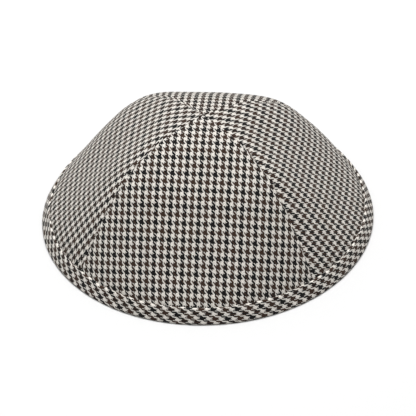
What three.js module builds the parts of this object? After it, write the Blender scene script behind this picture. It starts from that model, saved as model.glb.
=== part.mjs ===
// A kippah sewn from one cloth: four gores make the crown and a folded bias band binds its rim.
// Millimetres, +Z up. The origin is the centre of the rim, on the surface that the cap stands on.
// The front gore faces -Y. Azimuths run from the front towards +X.

import * as THREE from "three";

// Driving dimensions
const RIM_DIAMETER = 170;
const CROWN_CLOTH = 1.2; // wool cloth with its pressed backing
const BAND_CLOTH = 1.0; // one leaf of the folded band
const GAP = 0.3; // left between pieces that are sewn together
const CLOTH_COLOUR = "#8a827b"; // cream, black and brown threads, seen from far enough to blend

// The rings of the crown's outer face, from the top down. girth is the mean of the ring's reach at a
// gore's middle and at a seam. squareness is the exponent of its outline: 2 is a circle, and 5 is a
// square with round corners, because each gore is nearly flat from seam to seam.
const CROWN_RINGS = [
  { girth: 0, height: 67.6, squareness: 5.0 },
  { girth: 12, height: 66.6, squareness: 5.0 },
  { girth: 24, height: 63.9, squareness: 5.0 },
  { girth: 36, height: 57.5, squareness: 5.0 },
  { girth: 48, height: 48.5, squareness: 3.9 },
  { girth: 60, height: 35.1, squareness: 2.9 },
  { girth: 70, height: 22.2, squareness: 2.4 },
  { girth: 77, height: 12.9, squareness: 2.1 },
  { girth: 80.2, height: 7.8, squareness: 2.0 },
  { girth: 83.2, height: 1.9, squareness: 2.0 },
];

// Where each seam's foot and top lie round the crown, in degrees. The gores are cut and sewn by hand,
// so they aren't quite equal.
const SEAMS = {
  frontLeft: { footDeg: -47.2, topDeg: -48.5 },
  frontRight: { footDeg: 47.2, topDeg: 51.2 },
  backRight: { footDeg: 132.6, topDeg: 131.0 },
  backLeft: { footDeg: 231.2, topDeg: 222.4 },
};
const GORES = [
  { name: "panel_front", from: "frontLeft", to: "frontRight" },
  { name: "panel_right", from: "frontRight", to: "backRight" },
  { name: "panel_back", from: "backRight", to: "backLeft" },
  { name: "panel_left", from: "backLeft", to: "frontLeft" },
];

const GORE_COLUMNS = 20;
const GORE_ROWS = 20;
const TIP_RADIUS = 1.0; // the four tips stop this far from the axis

// The folded band: two leaves on a slope, with the crown's edge between them and a flat foot.
const BAND_SLOPE_DEG = 63;
const BAND_WIDTH = 8.4;
const BAND_SEGMENTS = 96;
const FOOT_HEIGHT = 1.0; // thickness of the fold under the crown's edge
const FOOT_ROUNDING = 0.5;

const crownCurve = new THREE.CatmullRomCurve3(
  CROWN_RINGS.map((ring) => new THREE.Vector3(ring.girth, ring.height, ring.squareness)),
  false,
  "catmullrom",
  0.5,
);

// Where the tips end, as a share of the way down. It lies in the first of the curve's even stretches.
const TOP = TIP_RADIUS / CROWN_RINGS[1].girth / (CROWN_RINGS.length - 1);

// The ring at a share of the way down the crown: 0 is the top and 1 the hidden lower edge.
function ringAt(down) {
  const ring = crownCurve.getPoint(down);
  return { girth: ring.x, height: ring.y, squareness: ring.z };
}

// A seam's azimuth, in radians, on the ring of a given girth.
function seamAzimuth(seam, girth) {
  const out = girth / CROWN_RINGS.at(-1).girth;
  return THREE.MathUtils.degToRad(THREE.MathUtils.lerp(seam.topDeg, seam.footDeg, out));
}

// A point of the crown's outer face. across runs from -1 at the gore's first seam to 1 at its second.
function crownPoint(seams, down, across) {
  const ring = ringAt(down);
  const n = ring.squareness;
  const turn = (across * Math.PI) / 4;
  const reach = (Math.cos(turn) ** n + Math.abs(Math.sin(turn)) ** n) ** (-1 / n);
  const meanReach = (1 + 2 ** (0.5 - 1 / n)) / 2;
  const radius = (ring.girth * reach) / meanReach;
  const gapTurn = GAP / 2 / radius;
  const from = seamAzimuth(seams[0], ring.girth) + gapTurn;
  const to = seamAzimuth(seams[1], ring.girth) - gapTurn;
  const azimuth = THREE.MathUtils.lerp(from, to, (across + 1) / 2);
  return new THREE.Vector3(radius * Math.sin(azimuth), -radius * Math.cos(azimuth), ring.height);
}

// The outward normal of the crown's outer face, from two short steps along it.
function crownNormal(seams, down, across) {
  const step = 1e-3;
  const below = crownPoint(seams, Math.min(down + step, 1), across);
  const above = crownPoint(seams, Math.max(down - step, TOP), across);
  const right = crownPoint(seams, down, Math.min(across + step, 1));
  const left = crownPoint(seams, down, Math.max(across - step, -1));
  return right.sub(left).cross(above.sub(below)).normalize();
}

// One gore: a thin block with many cells, bent on to the crown.
function gore(seams) {
  const block = new THREE.BoxGeometry(2, 1, 1, GORE_COLUMNS, GORE_ROWS, 1);
  const place = block.getAttribute("position");
  for (let i = 0; i < place.count; i += 1) {
    const even = place.getX(i);
    const across = even * (1.15 - 0.15 * even * even); // columns lie closer towards the seams
    const down = THREE.MathUtils.lerp(1, TOP, place.getY(i) + 0.5);
    const depth = (0.5 - place.getZ(i)) * CROWN_CLOTH;
    const point = crownPoint(seams, down, across);
    point.addScaledVector(crownNormal(seams, down, across), -depth);
    place.setXYZ(i, point.x, point.y, point.z);
  }
  block.computeVertexNormals();
  return block;
}

// The band's section as a closed outline. along runs up the slope from the foot, and out is square to it.
function rimBand() {
  const slope = THREE.MathUtils.degToRad(BAND_SLOPE_DEG);
  const slot = CROWN_CLOTH / 2 + GAP;
  const face = slot + BAND_CLOTH;
  const middleFoot = RIM_DIAMETER / 2 - face * Math.sin(slope) + FOOT_ROUNDING * Math.cos(slope);
  const at = (along, out) =>
    new THREE.Vector2(
      middleFoot - along * Math.cos(slope) + out * Math.sin(slope),
      along * Math.sin(slope) + out * Math.cos(slope),
    );
  const atHeight = (height, out) => at((height - out * Math.cos(slope)) / Math.sin(slope), out);
  const edge = BAND_CLOTH / 4; // rounding of a leaf's upper edge
  const outerTurn = at(FOOT_ROUNDING, face);
  const innerTurn = atHeight(FOOT_HEIGHT, -face);
  const section = [
    at(BAND_WIDTH, face - edge),
    at(BAND_WIDTH, slot),
    atHeight(FOOT_HEIGHT, slot),
    atHeight(FOOT_HEIGHT, -slot),
    at(BAND_WIDTH, -slot),
    at(BAND_WIDTH, edge - face),
    at(BAND_WIDTH - edge, -face),
    innerTurn,
    new THREE.Vector2(innerTurn.x + FOOT_ROUNDING, 0),
    new THREE.Vector2(outerTurn.x - FOOT_ROUNDING, 0),
    outerTurn,
    at(BAND_WIDTH - edge, face),
  ];
  section.push(section[0].clone());
  return new THREE.LatheGeometry(section, BAND_SEGMENTS).rotateX(Math.PI / 2);
}

// Each piece has its own material of the same cloth.
function cloth(color) {
  return new THREE.MeshStandardMaterial({ color, roughness: 0.95, metalness: 0 });
}

const kippah = new THREE.Group();
kippah.name = "kippah";

for (const { name, from, to } of GORES) {
  const first = SEAMS[from];
  const second = { ...SEAMS[to] };
  if (second.footDeg < first.footDeg) {
    second.footDeg += 360;
    second.topDeg += 360;
  }
  const panel = new THREE.Mesh(gore([first, second]), cloth(CLOTH_COLOUR));
  panel.name = name;
  kippah.add(panel);
}

const band = new THREE.Mesh(rimBand(), cloth(CLOTH_COLOUR));
band.name = "rim_band";
kippah.add(band);

export default kippah;
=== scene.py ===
import math
from functools import partial

import bmesh
import bpy
import numpy as np
from mathutils import Matrix, Vector, noise


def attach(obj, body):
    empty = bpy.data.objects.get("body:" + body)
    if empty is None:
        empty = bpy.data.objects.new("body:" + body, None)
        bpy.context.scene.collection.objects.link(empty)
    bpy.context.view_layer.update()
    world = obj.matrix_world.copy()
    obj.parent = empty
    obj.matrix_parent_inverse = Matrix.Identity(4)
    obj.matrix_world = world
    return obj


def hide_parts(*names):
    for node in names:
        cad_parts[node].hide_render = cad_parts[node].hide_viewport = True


# A kippah of houndstooth wool: four gores sewn into a crown, and a folded bias band round its rim.
# Metres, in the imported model's frame. The front gore faces -Y, and azimuths run from it towards +X.

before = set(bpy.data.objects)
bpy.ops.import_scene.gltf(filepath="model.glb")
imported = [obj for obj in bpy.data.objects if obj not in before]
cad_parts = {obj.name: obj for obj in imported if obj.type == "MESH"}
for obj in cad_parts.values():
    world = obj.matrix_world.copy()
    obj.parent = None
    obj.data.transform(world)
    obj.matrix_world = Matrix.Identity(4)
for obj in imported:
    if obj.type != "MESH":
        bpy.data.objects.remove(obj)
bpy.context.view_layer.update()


# The crown's four gores. Each is cut from wool suiting with its grain down the middle. Its two side
# edges are sewn to its neighbours' and pressed open inside the cap, so the face rolls over at each seam.

MM = 0.001
CLOTH = 0.5 * MM  # thickness of the suiting
CHECK = 8  # threads to a check, four pale and four dark
WARP = 3.602 / CHECK * MM  # from one warp thread to the next
WEFT = 4.214 / CHECK * MM

# Girth, height and squareness of the crown's rings, from the top down. girth is the mean reach of the
# ring. squareness is the exponent of its outline, 2 for a circle and 5 for a square with round corners.
CROWN_RINGS = np.array(
    [
        (0.0, 67.6, 5.0),
        (12.0, 66.6, 5.0),
        (24.0, 63.9, 5.0),
        (36.0, 57.5, 5.0),
        (48.0, 48.5, 3.9),
        (60.0, 35.1, 2.9),
        (70.0, 22.2, 2.4),
        (77.0, 12.9, 2.1),
        (80.2, 7.8, 2.0),
        (83.2, 1.9, 2.0),
    ]
)
# Azimuth of each seam's foot and top, in degrees. The last is the first again, one turn on.
SEAMS = {
    "front_left": (-47.2, -48.5),
    "front_right": (47.2, 51.2),
    "back_right": (132.6, 131.0),
    "back_left": (231.2, 222.4),
    "front_left_again": (312.8, 311.5),
}
# Each gore's seams, and how its pattern lay on the cloth: turned is whether it was cut upside down,
# stretch is how much longer it was pressed across and along, or shorter where it was eased in, the leans
# are how far warp and weft stray from its middle line, and the last two are its top in threads.
GORES = {
    "gore_front": dict(
        node="panel_front", seams=("front_left", "front_right"), turned=False,
        stretch=(1.0, 1.0), warp_lean=-0.002, weft_lean=0.003, warp_at=2.83, weft_at=-5.18,
    ),
    "gore_right": dict(
        node="panel_right", seams=("front_right", "back_right"), turned=True,
        stretch=(1.05, 1.017), warp_lean=-0.003, weft_lean=0.038, warp_at=1.49, weft_at=14.32,
    ),
    "gore_back": dict(
        node="panel_back", seams=("back_right", "back_left"), turned=True,
        stretch=(1.0, 0.87), warp_lean=0.003, weft_lean=0.06, warp_at=1.89, weft_at=-4.46,
    ),
    "gore_left": dict(
        node="panel_left", seams=("back_left", "front_left_again"), turned=True,
        stretch=(1.023, 1.02), warp_lean=0.025, weft_lean=0.019, warp_at=9.01, weft_at=-4.04,
    ),
}

TIP = 0.002  # share of the way down at which the gores' tips end
SEAM_GAP = 0.06 * MM
FOLD = 0.55 * MM  # outer radius of the cloth where it rolls over into a seam
ALLOWANCE = 6.0 * MM  # cloth turned under at each seam
MOST_FOLD, MOST_ALLOWANCE = 0.3, 0.6  # near the tips, as shares of half the gore's width
CROWDING = 0.3  # how much closer the columns lie towards the seams

# The unevenness of worn cloth: rows of how far apart its hills are, how high they are, and a seed.
EASE = ((27 * MM, 0.45 * MM, 0.0), (11 * MM, 0.16 * MM, 7.0))
DENT = dict(x=-11 * MM, y=43 * MM, width=18 * MM, depth=1.1 * MM)  # a shallow one behind the top
HELD = 0.12  # share of the way up the crown over which the band holds it flat
DRAWN_IN = 0.154 * MM  # how deep the stitches draw each seam in, on average
DRAWN_WIDTH = 1.5 * MM
DRAWN_FULLY = 6.0 * MM  # half width of the gore past which they do so fully
STITCHES = ((2.6 * MM, 0.198 * MM, 0.0),)  # as EASE
SEAM_FOLD_HIGHLIGHT, SEAM_FOLD_HIGHLIGHT_WIDTH = 0.6, 0.6 * MM  # painted highlight along each seam's fold, and how far it reaches

FACE_COLUMNS = 128
FOLD_STEPS = 8
UNDER_STEPS = 5
GORE_ROWS = 112
PAPER_COLUMNS = 32
PAPER_ROWS = 36


def ring_at(down):
    """Girth, height and squareness of the rings at shares of the way down, on a smooth curve."""
    ends = 2 * CROWN_RINGS[[0, -1]] - CROWN_RINGS[[1, -2]]
    rings = np.vstack([ends[:1], CROWN_RINGS, ends[1:]])
    place = np.clip(down, 0, 1) * (len(CROWN_RINGS) - 1)
    first = np.minimum(place.astype(int), len(CROWN_RINGS) - 2)
    past = (place - first)[:, None]
    a, b, c, d = (rings[first + k] for k in range(4))
    bend, twist = 2 * a - 5 * b + 4 * c - d, 3 * b - a - 3 * c + d
    ring = 0.5 * (2 * b + (c - a) * past + bend * past**2 + twist * past**3)
    return ring[:, 0] * MM, ring[:, 1] * MM, ring[:, 2]


def crown(seams, down, across):
    """Points of the crown's face. across runs from -1 at the gore's first seam to 1 at its second."""
    girth, height, n = ring_at(down)
    turn = across * math.pi / 4
    reach = (np.cos(turn) ** n + np.abs(np.sin(turn)) ** n) ** (-1 / n)
    mean_reach = (1 + 2 ** (0.5 - 1 / n)) / 2
    radius = girth * reach / mean_reach
    out = girth / (CROWN_RINGS[-1, 0] * MM)
    (foot_from, top_from), (foot_to, top_to) = (SEAMS[seam] for seam in seams)
    start = np.radians(top_from + (foot_from - top_from) * out) + SEAM_GAP / 2 / radius
    end = np.radians(top_to + (foot_to - top_to) * out) - SEAM_GAP / 2 / radius
    azimuth = start + (end - start) * (across + 1) / 2
    return np.stack([radius * np.sin(azimuth), -radius * np.cos(azimuth), height], axis=1)


def crown_normal(seams, down, across):
    """Outward normals of the crown's face, from short steps along it."""
    step = 1e-3
    across = np.clip(across, -1, 1)
    along = crown(seams, np.maximum(down - step, TIP / 2), across) - crown(seams, down + step, across)
    aside = crown(seams, down, across + step) - crown(seams, down, across - step)
    normal = np.cross(aside, along)
    return normal / np.linalg.norm(normal, axis=1)[:, None]


def unevenness(points, hills):
    """Smooth random heights over points, from rows such as those of EASE."""
    heights = np.zeros(len(points))
    for size, height, seed in hills:
        shift = Vector((seed, seed, seed))
        heights += height * np.array([noise.noise(Vector(p) / size + shift) for p in points])
    return heights


def smooth_step(x, start, end):
    """Rises smoothly from 0 where x is at start to 1 where it is at end."""
    x = np.clip((x - start) / (end - start), 0, 1)
    return x * x * (3 - 2 * x)


def fading(distance, width):
    """1 at no distance, and next to nothing at twice the width."""
    return np.exp(-((distance / width) ** 2))


def rolled_edge(steps, fold_steps, fold):
    """How far in from a seam, and how deep, the cloth is after some steps of its half-round fold."""
    turn = np.pi * np.clip(steps / fold_steps, 0, 1)
    return fold * (1 - np.sin(turn)), fold * (1 - np.cos(turn))


def down_at(up):
    """How far down the crown a row lies, from its share up the gore."""
    return TIP + (1 - TIP) * (1 - up)


def gore_across(seams, column, up):
    """For columns at their heights: place across, depth, place across when flat, and half width.

    Column 0 is the gore's middle line, and the last columns are turned under."""
    down = down_at(up)
    last = 0.1  # the part of the half width that is measured
    at_seam, near_seam = (crown(seams, down, np.full(len(down), share)) for share in (1, 1 - last))
    reach = np.linalg.norm(at_seam - near_seam, axis=1) / last
    fold = np.minimum(FOLD, MOST_FOLD * reach)
    steps = np.abs(column) - FACE_COLUMNS / 2
    even = np.clip(np.abs(column) / (FACE_COLUMNS / 2), 0, 1)
    face = even * (1 + CROWDING - CROWDING * even**2) * (1 - fold / reach)
    in_from_seam, depth = rolled_edge(steps, FOLD_STEPS, fold)
    allowance = np.minimum(ALLOWANCE, MOST_ALLOWANCE * reach)
    under = np.clip((steps - FOLD_STEPS) / UNDER_STEPS, 0, 1) * allowance
    rolled = math.pi * fold * np.clip(steps / FOLD_STEPS, 0, 1)
    across = np.where(steps <= 0, face, 1 - (in_from_seam + under) / reach)
    laid_flat = np.where(steps <= 0, face, 1 - fold / reach + (rolled + under) / reach)
    return np.sign(column) * across, depth, np.sign(column) * laid_flat, reach


def gore_points(seams, column, up):
    """Places of the gore's cloth, which isn't quite even and is drawn in at its seams."""
    down = down_at(up)
    across, depth, _, reach = gore_across(seams, column, up)
    point, normal = crown(seams, down, across), crown_normal(seams, down, across)
    near_seam = fading((1 - np.abs(across)) * reach, DRAWN_WIDTH) * smooth_step(reach, 0, DRAWN_FULLY)
    drawn_in = near_seam * (DRAWN_IN + unevenness(point, STITCHES))
    from_dent = np.hypot(point[:, 0] - DENT["x"], point[:, 1] - DENT["y"])
    dent = DENT["depth"] * np.exp(-((from_dent / DENT["width"]) ** 2) / 2)
    held = smooth_step(1 - down, 0, HELD)
    lift = held * (unevenness(point, EASE) - dent - drawn_in) - depth
    return point + normal * lift[:, None]


def sheet_of_cloth(name, columns, rows, place):
    """A grid of cloth bent into place. place gives points for columns and their shares up the rows."""
    bm = bmesh.new()
    bmesh.ops.create_grid(bm, x_segments=columns, y_segments=rows, size=1)
    flat = np.array([v.co for v in bm.verts])
    for vert, point in zip(bm.verts, place(np.round(flat[:, 0] * columns / 2), (flat[:, 1] + 1) / 2)):
        vert.co = point
    for face in bm.faces:
        face.smooth = True
    mesh = bpy.data.meshes.new(name)
    bm.to_mesh(mesh)
    bm.free()
    piece = bpy.data.objects.new(name, mesh)
    bpy.context.scene.collection.objects.link(piece)
    wall = piece.modifiers.new("cloth thickness", "SOLIDIFY")
    wall.thickness = CLOTH
    wall.offset = -1
    return piece, flat


def paper_pattern(seams):
    """The gore between its seams laid flat with the least stretch, in real size, with its top at 0, 0.

    It has a point for each of PAPER_ROWS + 1 rows, from the top down, and PAPER_COLUMNS + 1 columns."""

    def place(column, up):
        return crown(seams, down_at(up), column / PAPER_COLUMNS * 2)

    paper, flat = sheet_of_cloth("paper", PAPER_COLUMNS, PAPER_ROWS, place)
    bpy.context.view_layer.objects.active = paper
    paper.select_set(True)
    bpy.ops.object.mode_set(mode="EDIT")
    bpy.ops.mesh.select_all(action="SELECT")
    bpy.ops.uv.unwrap(method="MINIMUM_STRETCH", iterations=80, margin=0)
    bpy.ops.object.mode_set(mode="OBJECT")
    mesh = paper.data
    corners = np.zeros(2 * len(mesh.loops))
    mesh.uv_layers.active.uv.foreach_get("vector", corners)
    corners = corners.reshape(-1, 2)
    # Every face has four corners, and its diagonals give its area.
    quads = corners.reshape(-1, 4, 2)
    one, other = quads[:, 2] - quads[:, 0], quads[:, 3] - quads[:, 1]
    mapped = np.abs(one[:, 0] * other[:, 1] - one[:, 1] * other[:, 0]).sum() / 2
    size = math.sqrt(sum(face.area for face in mesh.polygons) / mapped)
    points = np.zeros((len(mesh.vertices), 2))
    points[[loop.vertex_index for loop in mesh.loops]] = corners
    order = np.lexsort((flat[:, 0].round(6), -flat[:, 1].round(6)))
    grid = points[order].reshape(PAPER_ROWS + 1, PAPER_COLUMNS + 1, 2)
    bpy.data.objects.remove(paper)
    bpy.data.meshes.remove(mesh)
    top, foot = grid[0, PAPER_COLUMNS // 2], grid[-1, PAPER_COLUMNS // 2]
    up = (top - foot) / np.linalg.norm(top - foot)
    right = np.array([up[1], -up[0]])
    return (grid - top) @ np.stack([right, up], axis=1) * size


def on_paper(grid, across, up):
    """Points of the paper pattern at shares across and up. Cloth past a seam lies in line beyond it."""
    column = (across + 1) / 2 * PAPER_COLUMNS
    row = (1 - up) * PAPER_ROWS
    left = np.clip(column.astype(int), 0, PAPER_COLUMNS - 1)
    above = np.clip(row.astype(int), 0, PAPER_ROWS - 1)
    x, y = (column - left)[:, None], (row - above)[:, None]
    upper = grid[above, left] * (1 - x) + grid[above, left + 1] * x
    lower = grid[above + 1, left] * (1 - x) + grid[above + 1, left + 1] * x
    return upper * (1 - y) + lower * y


def lay_on_cloth(piece, x, y, folded):
    """Gives the piece its map on the cloth, in metres, and a painted highlight along its folds, from 0 to
    1.
    """
    mesh = piece.data
    vertex = [loop.vertex_index for loop in mesh.loops]
    at_corner = np.stack([x, y], axis=1)[vertex]
    mesh.uv_layers.new(name="cloth").uv.foreach_set("vector", at_corner.astype(np.float32).ravel())
    folds = mesh.attributes.new("folded", "FLOAT", "POINT")
    folds.data.foreach_set("value", folded.astype(np.float32))


# Worsted wool suiting, dyed in the yarn and woven in a 2/2 twill. Its matt yarns lie in short slanting
# floats, with painted shade in the hollows between them. A thin nap greys the dark checks where the cloth
# turns away, and along a sharp fold a painted highlight takes the painted shade away.

CREAM, BLACK, BROWN, NAP = "#E8E3DB", "#161617", "#46342A", "#E9E4DC"
YARNS = (CREAM, BLACK, CREAM, BROWN)  # four threads of each in turn, in warp and weft alike
# The threads wander: rows of over how much cloth, and how many threads from side to side at the most.
WANDER = ((24 * MM, 0.9), (2 * MM, 0.35))
FLOAT_BOW = 1.0  # how far a float bows up between its ends, in yarn radii
WARP_LIFT = 0.9  # the warp takes up more of the crimp than the weft, so its floats cover more
DARK_PLUMP = 0.4  # the dark yarns are thicker than the cream ones
DARK_SPREAD = 0.13  # and push those aside, by this share of a thread
DYE_LEAST, DYE_SPREAD = 0.89, 0.22  # no two threads took the dye alike
DYE_SEEDS = (31.0, 88.0)
FIBRE = 0.35 * MM  # size of the tufts of fibre in the yarns
FIBRE_TONE, FIBRE_RELIEF = 0.5, 0.3
DEEPEST = 0.05  # painted shade: share of the colour left deepest between the yarns
GLOW = 0.18


def linear(colour):
    """An sRGB hex colour as linear RGBA."""
    parts = [int(colour[k : k + 2], 16) / 255 for k in (1, 3, 5)]
    return (*(c / 12.92 if c <= 0.04045 else ((c + 0.055) / 1.055) ** 2.4 for c in parts), 1)


def add(tree, kind, *inputs, links=None, **settings):
    """Adds a node. inputs go to its sockets in order, and links to the sockets that it names.

    Each is a number, a colour, an output of a node, or a node, which stands for its first output."""
    node = tree.nodes.new("ShaderNode" + kind)
    for key, value in settings.items():
        setattr(node, key, value)
    for socket, value in (*enumerate(inputs), *(links or {}).items()):
        if isinstance(value, bpy.types.Node):
            value = value.outputs[0]
        if isinstance(value, bpy.types.NodeSocket):
            tree.links.new(value, node.inputs[socket])
        else:
            node.inputs[socket].default_value = value
    return node


def woven_houndstooth():
    """The suiting. Its weave is worked out thread by thread from a piece's map on the cloth."""
    material = bpy.data.materials.new("worsted_wool_houndstooth_twill")
    material.use_nodes = True
    tree = material.node_tree
    surface = tree.nodes["Principled BSDF"]
    cloth = add(tree, "UVMap", uv_map="cloth")

    threads = add(tree, "VectorMath", cloth, (WARP, WEFT, 1), operation="DIVIDE")
    for size, amount in WANDER:
        wander = add(tree, "TexNoise", links={"Vector": cloth, "Scale": 1 / size, "Detail": 0.0})
        centred = add(tree, "VectorMath", wander.outputs["Color"], (0.5, 0.5, 0.5), operation="SUBTRACT")
        strayed = add(tree, "VectorMath", centred, (amount, amount, 0), operation="MULTIPLY")
        threads = add(tree, "VectorMath", threads, strayed, operation="ADD")

    # One turn of phase is one check. It is 0 in the middle of its cream threads.
    middle, turn = CHECK / 4, 2 * math.pi / CHECK
    from_middle = add(tree, "VectorMath", threads, (middle, middle, 0), operation="SUBTRACT")
    phase = add(tree, "VectorMath", from_middle, (turn, turn, 0), operation="MULTIPLY")
    wave = add(tree, "VectorMath", phase, operation="SINE")
    spread = add(tree, "VectorMath", wave, (DARK_SPREAD, DARK_SPREAD, 0), operation="MULTIPLY")
    threads = add(tree, "VectorMath", threads, spread, operation="ADD")
    number = add(tree, "SeparateXYZ", add(tree, "VectorMath", threads, operation="FLOOR")).outputs
    within = add(tree, "SeparateXYZ", add(tree, "VectorMath", threads, operation="FRACTION")).outputs

    # The 2/2 twill: at steps 0 and 1 the warp floats over the weft, at 2 and 3 the weft over the warp.
    diagonal = add(tree, "Math", number[0], number[1], operation="ADD")
    two_on = add(tree, "Math", diagonal, 2, operation="ADD")
    step = add(tree, "Math", two_on, 4, operation="FLOORED_MODULO")
    weft_step = add(tree, "Math", step, 2, operation="SUBTRACT")
    along_warp = add(tree, "Math", step, within[1], operation="ADD")
    along_weft = add(tree, "Math", weft_step, within[0], operation="ADD")

    colours, heights, covers = [], [], []
    for axis, (along, lift) in enumerate([(along_warp, WARP_LIFT), (along_weft, 0.0)]):
        in_repeat = add(tree, "Math", number[axis], 2 * CHECK, operation="FLOORED_MODULO")
        share = add(tree, "Math", in_repeat, 2 * CHECK, operation="DIVIDE")
        ramp = add(tree, "ValToRGB", share)
        ramp.color_ramp.interpolation = "CONSTANT"
        stops = ramp.color_ramp.elements
        stops.remove(stops[1])
        stops[0].color = linear(YARNS[0])
        for quarter in (1, 2, 3):
            # Each stop lies a little before its thread, so that no rounding takes it past.
            stops.new(quarter / 4 - 0.01).color = linear(YARNS[quarter])
        own_number = add(tree, "Math", number[axis], DYE_SEEDS[axis], operation="ADD")
        own_dye = add(tree, "TexWhiteNoise", links={"W": own_number}, noise_dimensions="1D")
        dye = add(tree, "Math", own_dye, DYE_SPREAD, DYE_LEAST, operation="MULTIPLY_ADD")
        colours.append(add(tree, "VectorMath", ramp, links={"Scale": dye}, operation="SCALE"))

        # A yarn is round across, and bows up in its floats and down under the others. The higher shows.
        aside = add(tree, "Math", within[axis], 2, -1, operation="MULTIPLY_ADD")
        squared = add(tree, "Math", aside, aside, operation="MULTIPLY")
        below = add(tree, "Math", 1, squared, operation="SUBTRACT")
        roundness = add(tree, "Math", below, operation="SQRT")
        bow_turn = add(tree, "Math", along, math.pi / 2, operation="MULTIPLY")
        bow = add(tree, "Math", bow_turn, operation="SINE")
        heights.append(add(tree, "Math", bow, FLOAT_BOW, roundness, operation="MULTIPLY_ADD"))
        in_check = add(tree, "Math", number[axis], CHECK, operation="FLOORED_MODULO")
        dark = add(tree, "Math", in_check, (CHECK - 1) / 2, operation="GREATER_THAN")
        lifted = add(tree, "Math", heights[-1], lift, operation="ADD")
        covers.append(add(tree, "Math", dark, DARK_PLUMP, lifted, operation="MULTIPLY_ADD"))
    weft_shows = add(tree, "Math", covers[1], covers[0], operation="GREATER_THAN")
    # A Mix node's sockets 2 and 3 are its two numbers, and 6 and 7 its two colours.
    height = add(tree, "Mix", weft_shows, links={2: heights[0], 3: heights[1]}, data_type="FLOAT")
    shown = add(tree, "Mix", weft_shows, links={6: colours[0], 7: colours[1]}, data_type="RGBA")

    # The fibres give a fine uneven tone. Painted shade darkens the colour at the yarns' sides and between
    # them, and along the folds a painted highlight takes it away.
    fibre = add(tree, "TexNoise", links={"Vector": cloth, "Scale": 1 / FIBRE, "Detail": 2.0})
    tone = add(tree, "Math", fibre, FIBRE_TONE, 1 - FIBRE_TONE / 2, operation="MULTIPLY_ADD")
    rise = (1 - DEEPEST) / (1 + FLOAT_BOW)
    open_light = add(tree, "Math", height, rise, DEEPEST, operation="MULTIPLY_ADD")
    shadow = add(tree, "Math", 1, open_light, operation="SUBTRACT")
    highlit_fold = add(tree, "Attribute", attribute_name="folded").outputs["Fac"]
    light = add(tree, "Math", shadow, highlit_fold, open_light, operation="MULTIPLY_ADD")
    paleness = add(tree, "SeparateXYZ", add(tree, "VectorMath", phase, operation="COSINE")).outputs
    both = add(tree, "Math", paleness[0], paleness[1], operation="ADD")
    glow = add(tree, "Math", both, GLOW / 2, 1 - GLOW, operation="MULTIPLY_ADD")
    lit_tone = add(tree, "Math", tone, light, operation="MULTIPLY")
    shade = add(tree, "Math", lit_tone, glow, operation="MULTIPLY")
    coloured = add(tree, "VectorMath", shown.outputs[2], links={"Scale": shade}, operation="SCALE")
    tree.links.new(coloured.outputs[0], surface.inputs["Base Color"])

    relief = add(tree, "Math", fibre, FIBRE_RELIEF, height, operation="MULTIPLY_ADD")
    bump = add(tree, "Bump", links={"Strength": 0.7, "Distance": 0.12 * MM, "Height": relief})
    tree.links.new(bump.outputs[0], surface.inputs["Normal"])
    surface.inputs["Roughness"].default_value = 0.92
    surface.inputs["Specular IOR Level"].default_value = 0.15
    surface.inputs["Sheen Weight"].default_value = 0.06
    surface.inputs["Sheen Roughness"].default_value = 0.5
    surface.inputs["Sheen Tint"].default_value = linear(NAP)
    return material


suiting = woven_houndstooth()
half = FACE_COLUMNS // 2 + FOLD_STEPS + UNDER_STEPS

for name, plan in GORES.items():
    seams = plan["seams"]
    gore, flat = sheet_of_cloth(name, 2 * half, GORE_ROWS, partial(gore_points, seams))
    up = (flat[:, 1] + 1) / 2
    _, _, laid_flat, reach = gore_across(seams, np.round(flat[:, 0] * half), up)
    cut = on_paper(paper_pattern(seams), laid_flat, up) / plan["stretch"]
    way = -1 if plan["turned"] else 1
    x = way * (cut[:, 0] - plan["warp_lean"] * cut[:, 1]) + plan["warp_at"] * WARP
    y = way * (cut[:, 1] + plan["weft_lean"] * cut[:, 0]) + plan["weft_at"] * WEFT
    # Each seam's fold gets a painted highlight, which takes away the painted shade between the yarns.
    from_seam = (np.abs(laid_flat) - 1) * reach
    lay_on_cloth(gore, x, y, SEAM_FOLD_HIGHLIGHT * fading(from_seam, SEAM_FOLD_HIGHLIGHT_WIDTH))
    gore.data.materials.append(suiting)
    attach(gore, "root")
    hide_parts(plan["node"])


# The rim's band. A bias strip of the same cloth, stretched as it is sewn on, is folded over the crown's
# raw edge. Both its long edges are tucked in, and its ends meet in a slanting join at the back.

SLOPE = math.radians(63)  # of the band's two leaves
RIM_RADIUS = 85 * MM
LEAF_OUT = 1.9 * MM  # from the middle of the crown's wall to the band's face
FOOT_ROUNDING = 0.5 * MM
BAND_WIDTH = 8.4 * MM
TUCK = 5.0 * MM  # turned in at each long edge
TOP_FOLD = 0.6 * MM  # radius of the folds along the band's two upper edges
OUTER_ROLL = 1.0 * MM  # radii of the fold round the crown's raw edge
INNER_ROLL = 0.8 * MM
JOIN_AZIMUTH = math.radians(171)
JOIN_SPREAD = 70 * MM  # how far from the join the strip's columns slant with it
MAP_RADIUS = 83.5 * MM  # the strip's length is measured at this radius
LEAN = 0.15 * MM  # how far the band's upper part leans in on the crown
RIPPLE = ((9 * MM, 0.22 * MM, 0.0), (3.5 * MM, 0.07 * MM, 3.0))  # of its face, as EASE
EDGE = ((14 * MM, 0.5 * MM, 0.0), (4 * MM, 0.2 * MM, 5.0))  # of its upper edge
# Each of these three sets in between two heights, so that the foot stays flat.
LEAN_SETS_IN, RIPPLE_SETS_IN, EDGE_SETS_IN = (4 * MM, 8 * MM), (0, 3 * MM), (2 * MM, 7 * MM)
# A painted highlight along the band's two top folds, and how far it reaches.
BAND_FOLD_HIGHLIGHT, BAND_FOLD_HIGHLIGHT_WIDTH = 0.85, 0.8 * MM
FOLD_HIGHLIGHT_PEAK = 0.8  # share of the way round the top fold at which the painted highlight is strongest
BAND_COLUMNS = 520
JOIN_STEPS = 5
BAND_ROWS = 74
SECTION_STEPS = 4000

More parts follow.
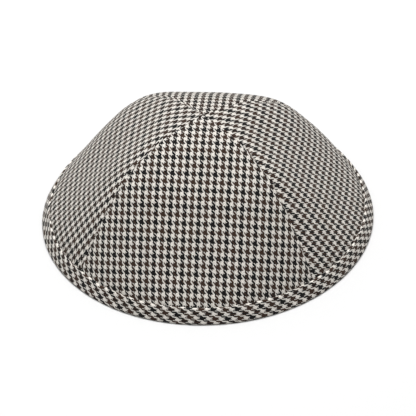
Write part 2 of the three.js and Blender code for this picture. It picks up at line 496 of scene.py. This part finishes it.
# The strip's section as it is folded: the length of each stretch and how far it turns, in order.
middle_foot = RIM_RADIUS - LEAF_OUT * math.sin(SLOPE) + FOOT_ROUNDING * math.cos(SLOPE)
outer_start = (OUTER_ROLL * (1 + math.cos(SLOPE)) - LEAF_OUT * math.cos(SLOPE)) / math.sin(SLOPE)
inner_start = (INNER_ROLL * (1 - math.cos(SLOPE)) + LEAF_OUT * math.cos(SLOPE)) / math.sin(SLOPE)
fold_line = BAND_WIDTH - TOP_FOLD
outer_foot = middle_foot - outer_start * math.cos(SLOPE) + (LEAF_OUT - OUTER_ROLL) * math.sin(SLOPE)
inner_foot = middle_foot - inner_start * math.cos(SLOPE) - (LEAF_OUT - INNER_ROLL) * math.sin(SLOPE)
STRIP = [
    (TUCK, 0.0),
    (math.pi * TOP_FOLD, math.pi),
    (fold_line - outer_start, 0.0),
    ((math.pi - SLOPE) * OUTER_ROLL, math.pi - SLOPE),
    (outer_foot - inner_foot, 0.0),
    (SLOPE * INNER_ROLL, SLOPE),
    (fold_line - inner_start, 0.0),
    (math.pi * TOP_FOLD, math.pi),
    (TUCK, 0.0),
]
STRIP_WIDTH = sum(length for length, turn in STRIP)


def section_at(path):
    """Radius, height and heading of the folded strip's face after some length from its outer raw edge."""
    ends = np.cumsum([0.0] + [length for length, turn in STRIP])
    headings = math.pi - SLOPE - np.cumsum([0.0] + [turn for length, turn in STRIP])
    fine = np.linspace(0, STRIP_WIDTH, SECTION_STEPS + 1)
    heading = np.interp(fine, ends, headings)
    between = (heading[1:] + heading[:-1]) / 2
    step = fine[1]
    radius = np.concatenate([[0], np.cumsum(np.cos(between)) * step])
    height = np.concatenate([[0], np.cumsum(np.sin(between)) * step])
    out = LEAF_OUT - 2 * TOP_FOLD
    radius += middle_foot - (fold_line - TUCK) * math.cos(SLOPE) + out * math.sin(SLOPE)
    height += (fold_line - TUCK) * math.sin(SLOPE) + out * math.cos(SLOPE)
    return (np.interp(path, fine, c) for c in (radius, height, heading))


def band_points(column, up):
    """Places of the strip's cloth. Columns run round the rim from the join, and rows along the folds."""
    path = (1 - up) * STRIP_WIDTH
    radius, height, heading = section_at(path)
    half = BAND_COLUMNS / 2
    steps = np.abs(column) - (half - JOIN_STEPS)
    quarter = np.clip(steps / JOIN_STEPS, 0, 1) * math.pi / 2
    in_from_join = TOP_FOLD * (1 - np.sin(quarter)) + SEAM_GAP / 2
    share = np.clip(np.abs(column) / (half - JOIN_STEPS), 0, 1)
    reach = math.pi * MAP_RADIUS
    before_join = share * (reach - TOP_FOLD - SEAM_GAP / 2)
    around = np.sign(column) * np.where(steps > 0, reach - in_from_join, before_join)
    slant = (path - STRIP_WIDTH / 2) * smooth_step(reach - np.abs(around), JOIN_SPREAD, 0)
    azimuth = JOIN_AZIMUTH + math.pi + (around + slant) / MAP_RADIUS

    point = np.stack([radius * np.sin(azimuth), -radius * np.cos(azimuth), height], axis=1)
    on_rim = np.stack([np.sin(azimuth), -np.cos(azimuth), 0 * azimuth], axis=1) * MAP_RADIUS
    side = np.where(path < STRIP_WIDTH / 2, 1, -1)
    ripple = unevenness(point, RIPPLE) * smooth_step(height, *RIPPLE_SETS_IN)
    outward = side * (ripple - LEAN * smooth_step(height, *LEAN_SETS_IN))
    upward = unevenness(on_rim, EDGE) * smooth_step(height, *EDGE_SETS_IN)
    into_join = TOP_FOLD * (1 - np.cos(quarter))
    radius = radius + outward * math.sin(SLOPE) - upward * math.cos(SLOPE) + into_join * np.sin(heading)
    height = height + outward * math.cos(SLOPE) + upward * math.sin(SLOPE) - into_join * np.cos(heading)
    return np.stack([radius * np.sin(azimuth), -radius * np.cos(azimuth), height], axis=1)


# How the strip's threads lie, in cycles of one check for each metre round the rim and up the band, and
# which thread is at the front, part of the way up. The strip was cut at about 45 degrees, and its
# stretch has turned warp and weft from 90 to 72 degrees apart. It is stretched less at the seams and to
# the right, so its checks lie closer round the rim there, and at the seams they are also taller.
BAND_WARP_CYCLES, BAND_WARP_AT = (175.6, 246.0), 0.3
BAND_WEFT_CYCLES, BAND_WEFT_AT = (-141.7, 194.0), -1.9
PART_WAY_UP = 4.4 * MM
WARP_CLOSER_AT_SEAMS, WEFT_CLOSER_AT_SEAMS = 0.055, 0.12
CLOSER_TO_THE_RIGHT = 0.05
TALLER_AT_SEAMS = 0.14


def round_the_rim(azimuth, closer_at_seams):
    """Cloth from the front to an azimuth, as a length round the rim, with more where it is closer.

    (1 - cos 4a) / 2 is 1 at the four seams and 0 midway. near_seams adds it up from the front."""
    near_seams = azimuth / 2 - np.sin(4 * azimuth) / 8
    to_the_right = 1 - np.cos(azimuth)
    return MAP_RADIUS * (azimuth + closer_at_seams * near_seams + CLOSER_TO_THE_RIGHT * to_the_right)


band, flat = sheet_of_cloth("band_bias_strip", BAND_COLUMNS, BAND_ROWS, band_points)
spots = np.array([v.co for v in band.data.vertices])
azimuth = np.arctan2(spots[:, 0], -spots[:, 1])
expected = JOIN_AZIMUTH - math.pi + flat[:, 0] * math.pi
azimuth += 2 * math.pi * np.round((expected - azimuth) / (2 * math.pi))
path = (1 - flat[:, 1]) / 2 * STRIP_WIDTH
up = TUCK + math.pi * TOP_FOLD + fold_line - path - PART_WAY_UP
up *= 1 - TALLER_AT_SEAMS * (1 - np.cos(4 * azimuth)) / 2
warps = BAND_WARP_CYCLES[0] * round_the_rim(azimuth, WARP_CLOSER_AT_SEAMS) + BAND_WARP_CYCLES[1] * up
wefts = BAND_WEFT_CYCLES[0] * round_the_rim(azimuth, WEFT_CLOSER_AT_SEAMS) + BAND_WEFT_CYCLES[1] * up
x, y = (CHECK * warps + BAND_WARP_AT) * WARP, (CHECK * wefts + BAND_WEFT_AT) * WEFT
from_raw_edge = np.minimum(path, STRIP_WIDTH - path)
# The painted highlight is strongest part of the way round each top fold.
from_highlight_peak = from_raw_edge - TUCK - FOLD_HIGHLIGHT_PEAK * math.pi * TOP_FOLD
lay_on_cloth(band, x, y, BAND_FOLD_HIGHLIGHT * fading(from_highlight_peak, BAND_FOLD_HIGHLIGHT_WIDTH))
band.data.materials.append(suiting)
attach(band, "root")
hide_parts("rim_band")


# The plain white table that the cap stands on. It is lit softly from all round, with a little more from
# a round lamp above and behind.

TABLE_REACH = 3.0
TABLE_COLOUR = "#C8C8C8"
MIDDLE_OF_CAP = Vector((0, 0, 0.03))

bm = bmesh.new()
bmesh.ops.create_grid(bm, x_segments=1, y_segments=1, size=TABLE_REACH)
mesh = bpy.data.meshes.new("table")
bm.to_mesh(mesh)
bm.free()
table = bpy.data.objects.new("table", mesh)
bpy.context.scene.collection.objects.link(table)
backdrop = bpy.data.materials.new("white_paper_backdrop")
backdrop.use_nodes = True
backdrop.node_tree.nodes["Principled BSDF"].inputs["Base Color"].default_value = linear(TABLE_COLOUR)
backdrop.node_tree.nodes["Principled BSDF"].inputs["Roughness"].default_value = 1.0
mesh.materials.append(backdrop)

world = bpy.data.worlds.new("studio")
world.use_nodes = True
world.node_tree.nodes["Background"].inputs["Color"].default_value = linear("#FFFFFF")
world.node_tree.nodes["Background"].inputs["Strength"].default_value = 0.56
bpy.context.scene.world = world

lamp = bpy.data.lights.new("softbox", "AREA")
lamp.shape = "DISK"
lamp.size = 1.2
lamp.energy = 35.5
softbox = bpy.data.objects.new("softbox", lamp)
softbox.location = (-0.08, 0.14, 1.6)
softbox.rotation_euler = (MIDDLE_OF_CAP - softbox.location).to_track_quat("-Z", "Y").to_euler()
bpy.context.scene.collection.objects.link(softbox)

# The camera stands far off with a long lens. It looks at a point a little above the rim's centre.
CAMERA_AZIMUTH = math.radians(7.0)
CAMERA_ELEVATION = math.radians(38.956)
CAMERA_DISTANCE = 2.624
CAMERA_ROLL = math.radians(-2.228)
SENSOR = 36  # mm across
PIXELS_PER_MM = 1.947  # at the camera's distance
PICTURE = 416  # pixels across
RIM_CENTRE_PIXEL = (207.74, 218.51)

away = Vector(
    (
        math.sin(CAMERA_AZIMUTH) * math.cos(CAMERA_ELEVATION),
        -math.cos(CAMERA_AZIMUTH) * math.cos(CAMERA_ELEVATION),
        math.sin(CAMERA_ELEVATION),
    )
)
lens = bpy.data.cameras.new("camera")
lens.sensor_width = SENSOR
lens.lens = SENSOR * PIXELS_PER_MM * CAMERA_DISTANCE / MM / PICTURE
camera = bpy.data.objects.new("camera", lens)
turned = away.to_track_quat("Z", "Y").to_matrix() @ Matrix.Rotation(CAMERA_ROLL, 3, "Z")
aside = (PICTURE / 2 - RIM_CENTRE_PIXEL[0]) / PIXELS_PER_MM * MM
above = (RIM_CENTRE_PIXEL[1] - PICTURE / 2) / PIXELS_PER_MM * MM
target = turned @ Vector((aside, above, 0))
camera.matrix_world = Matrix.Translation(away * CAMERA_DISTANCE + target) @ turned.to_4x4()
bpy.context.scene.collection.objects.link(camera)
bpy.context.scene.camera = camera
bpy.context.scene.view_settings.view_transform = "Standard"
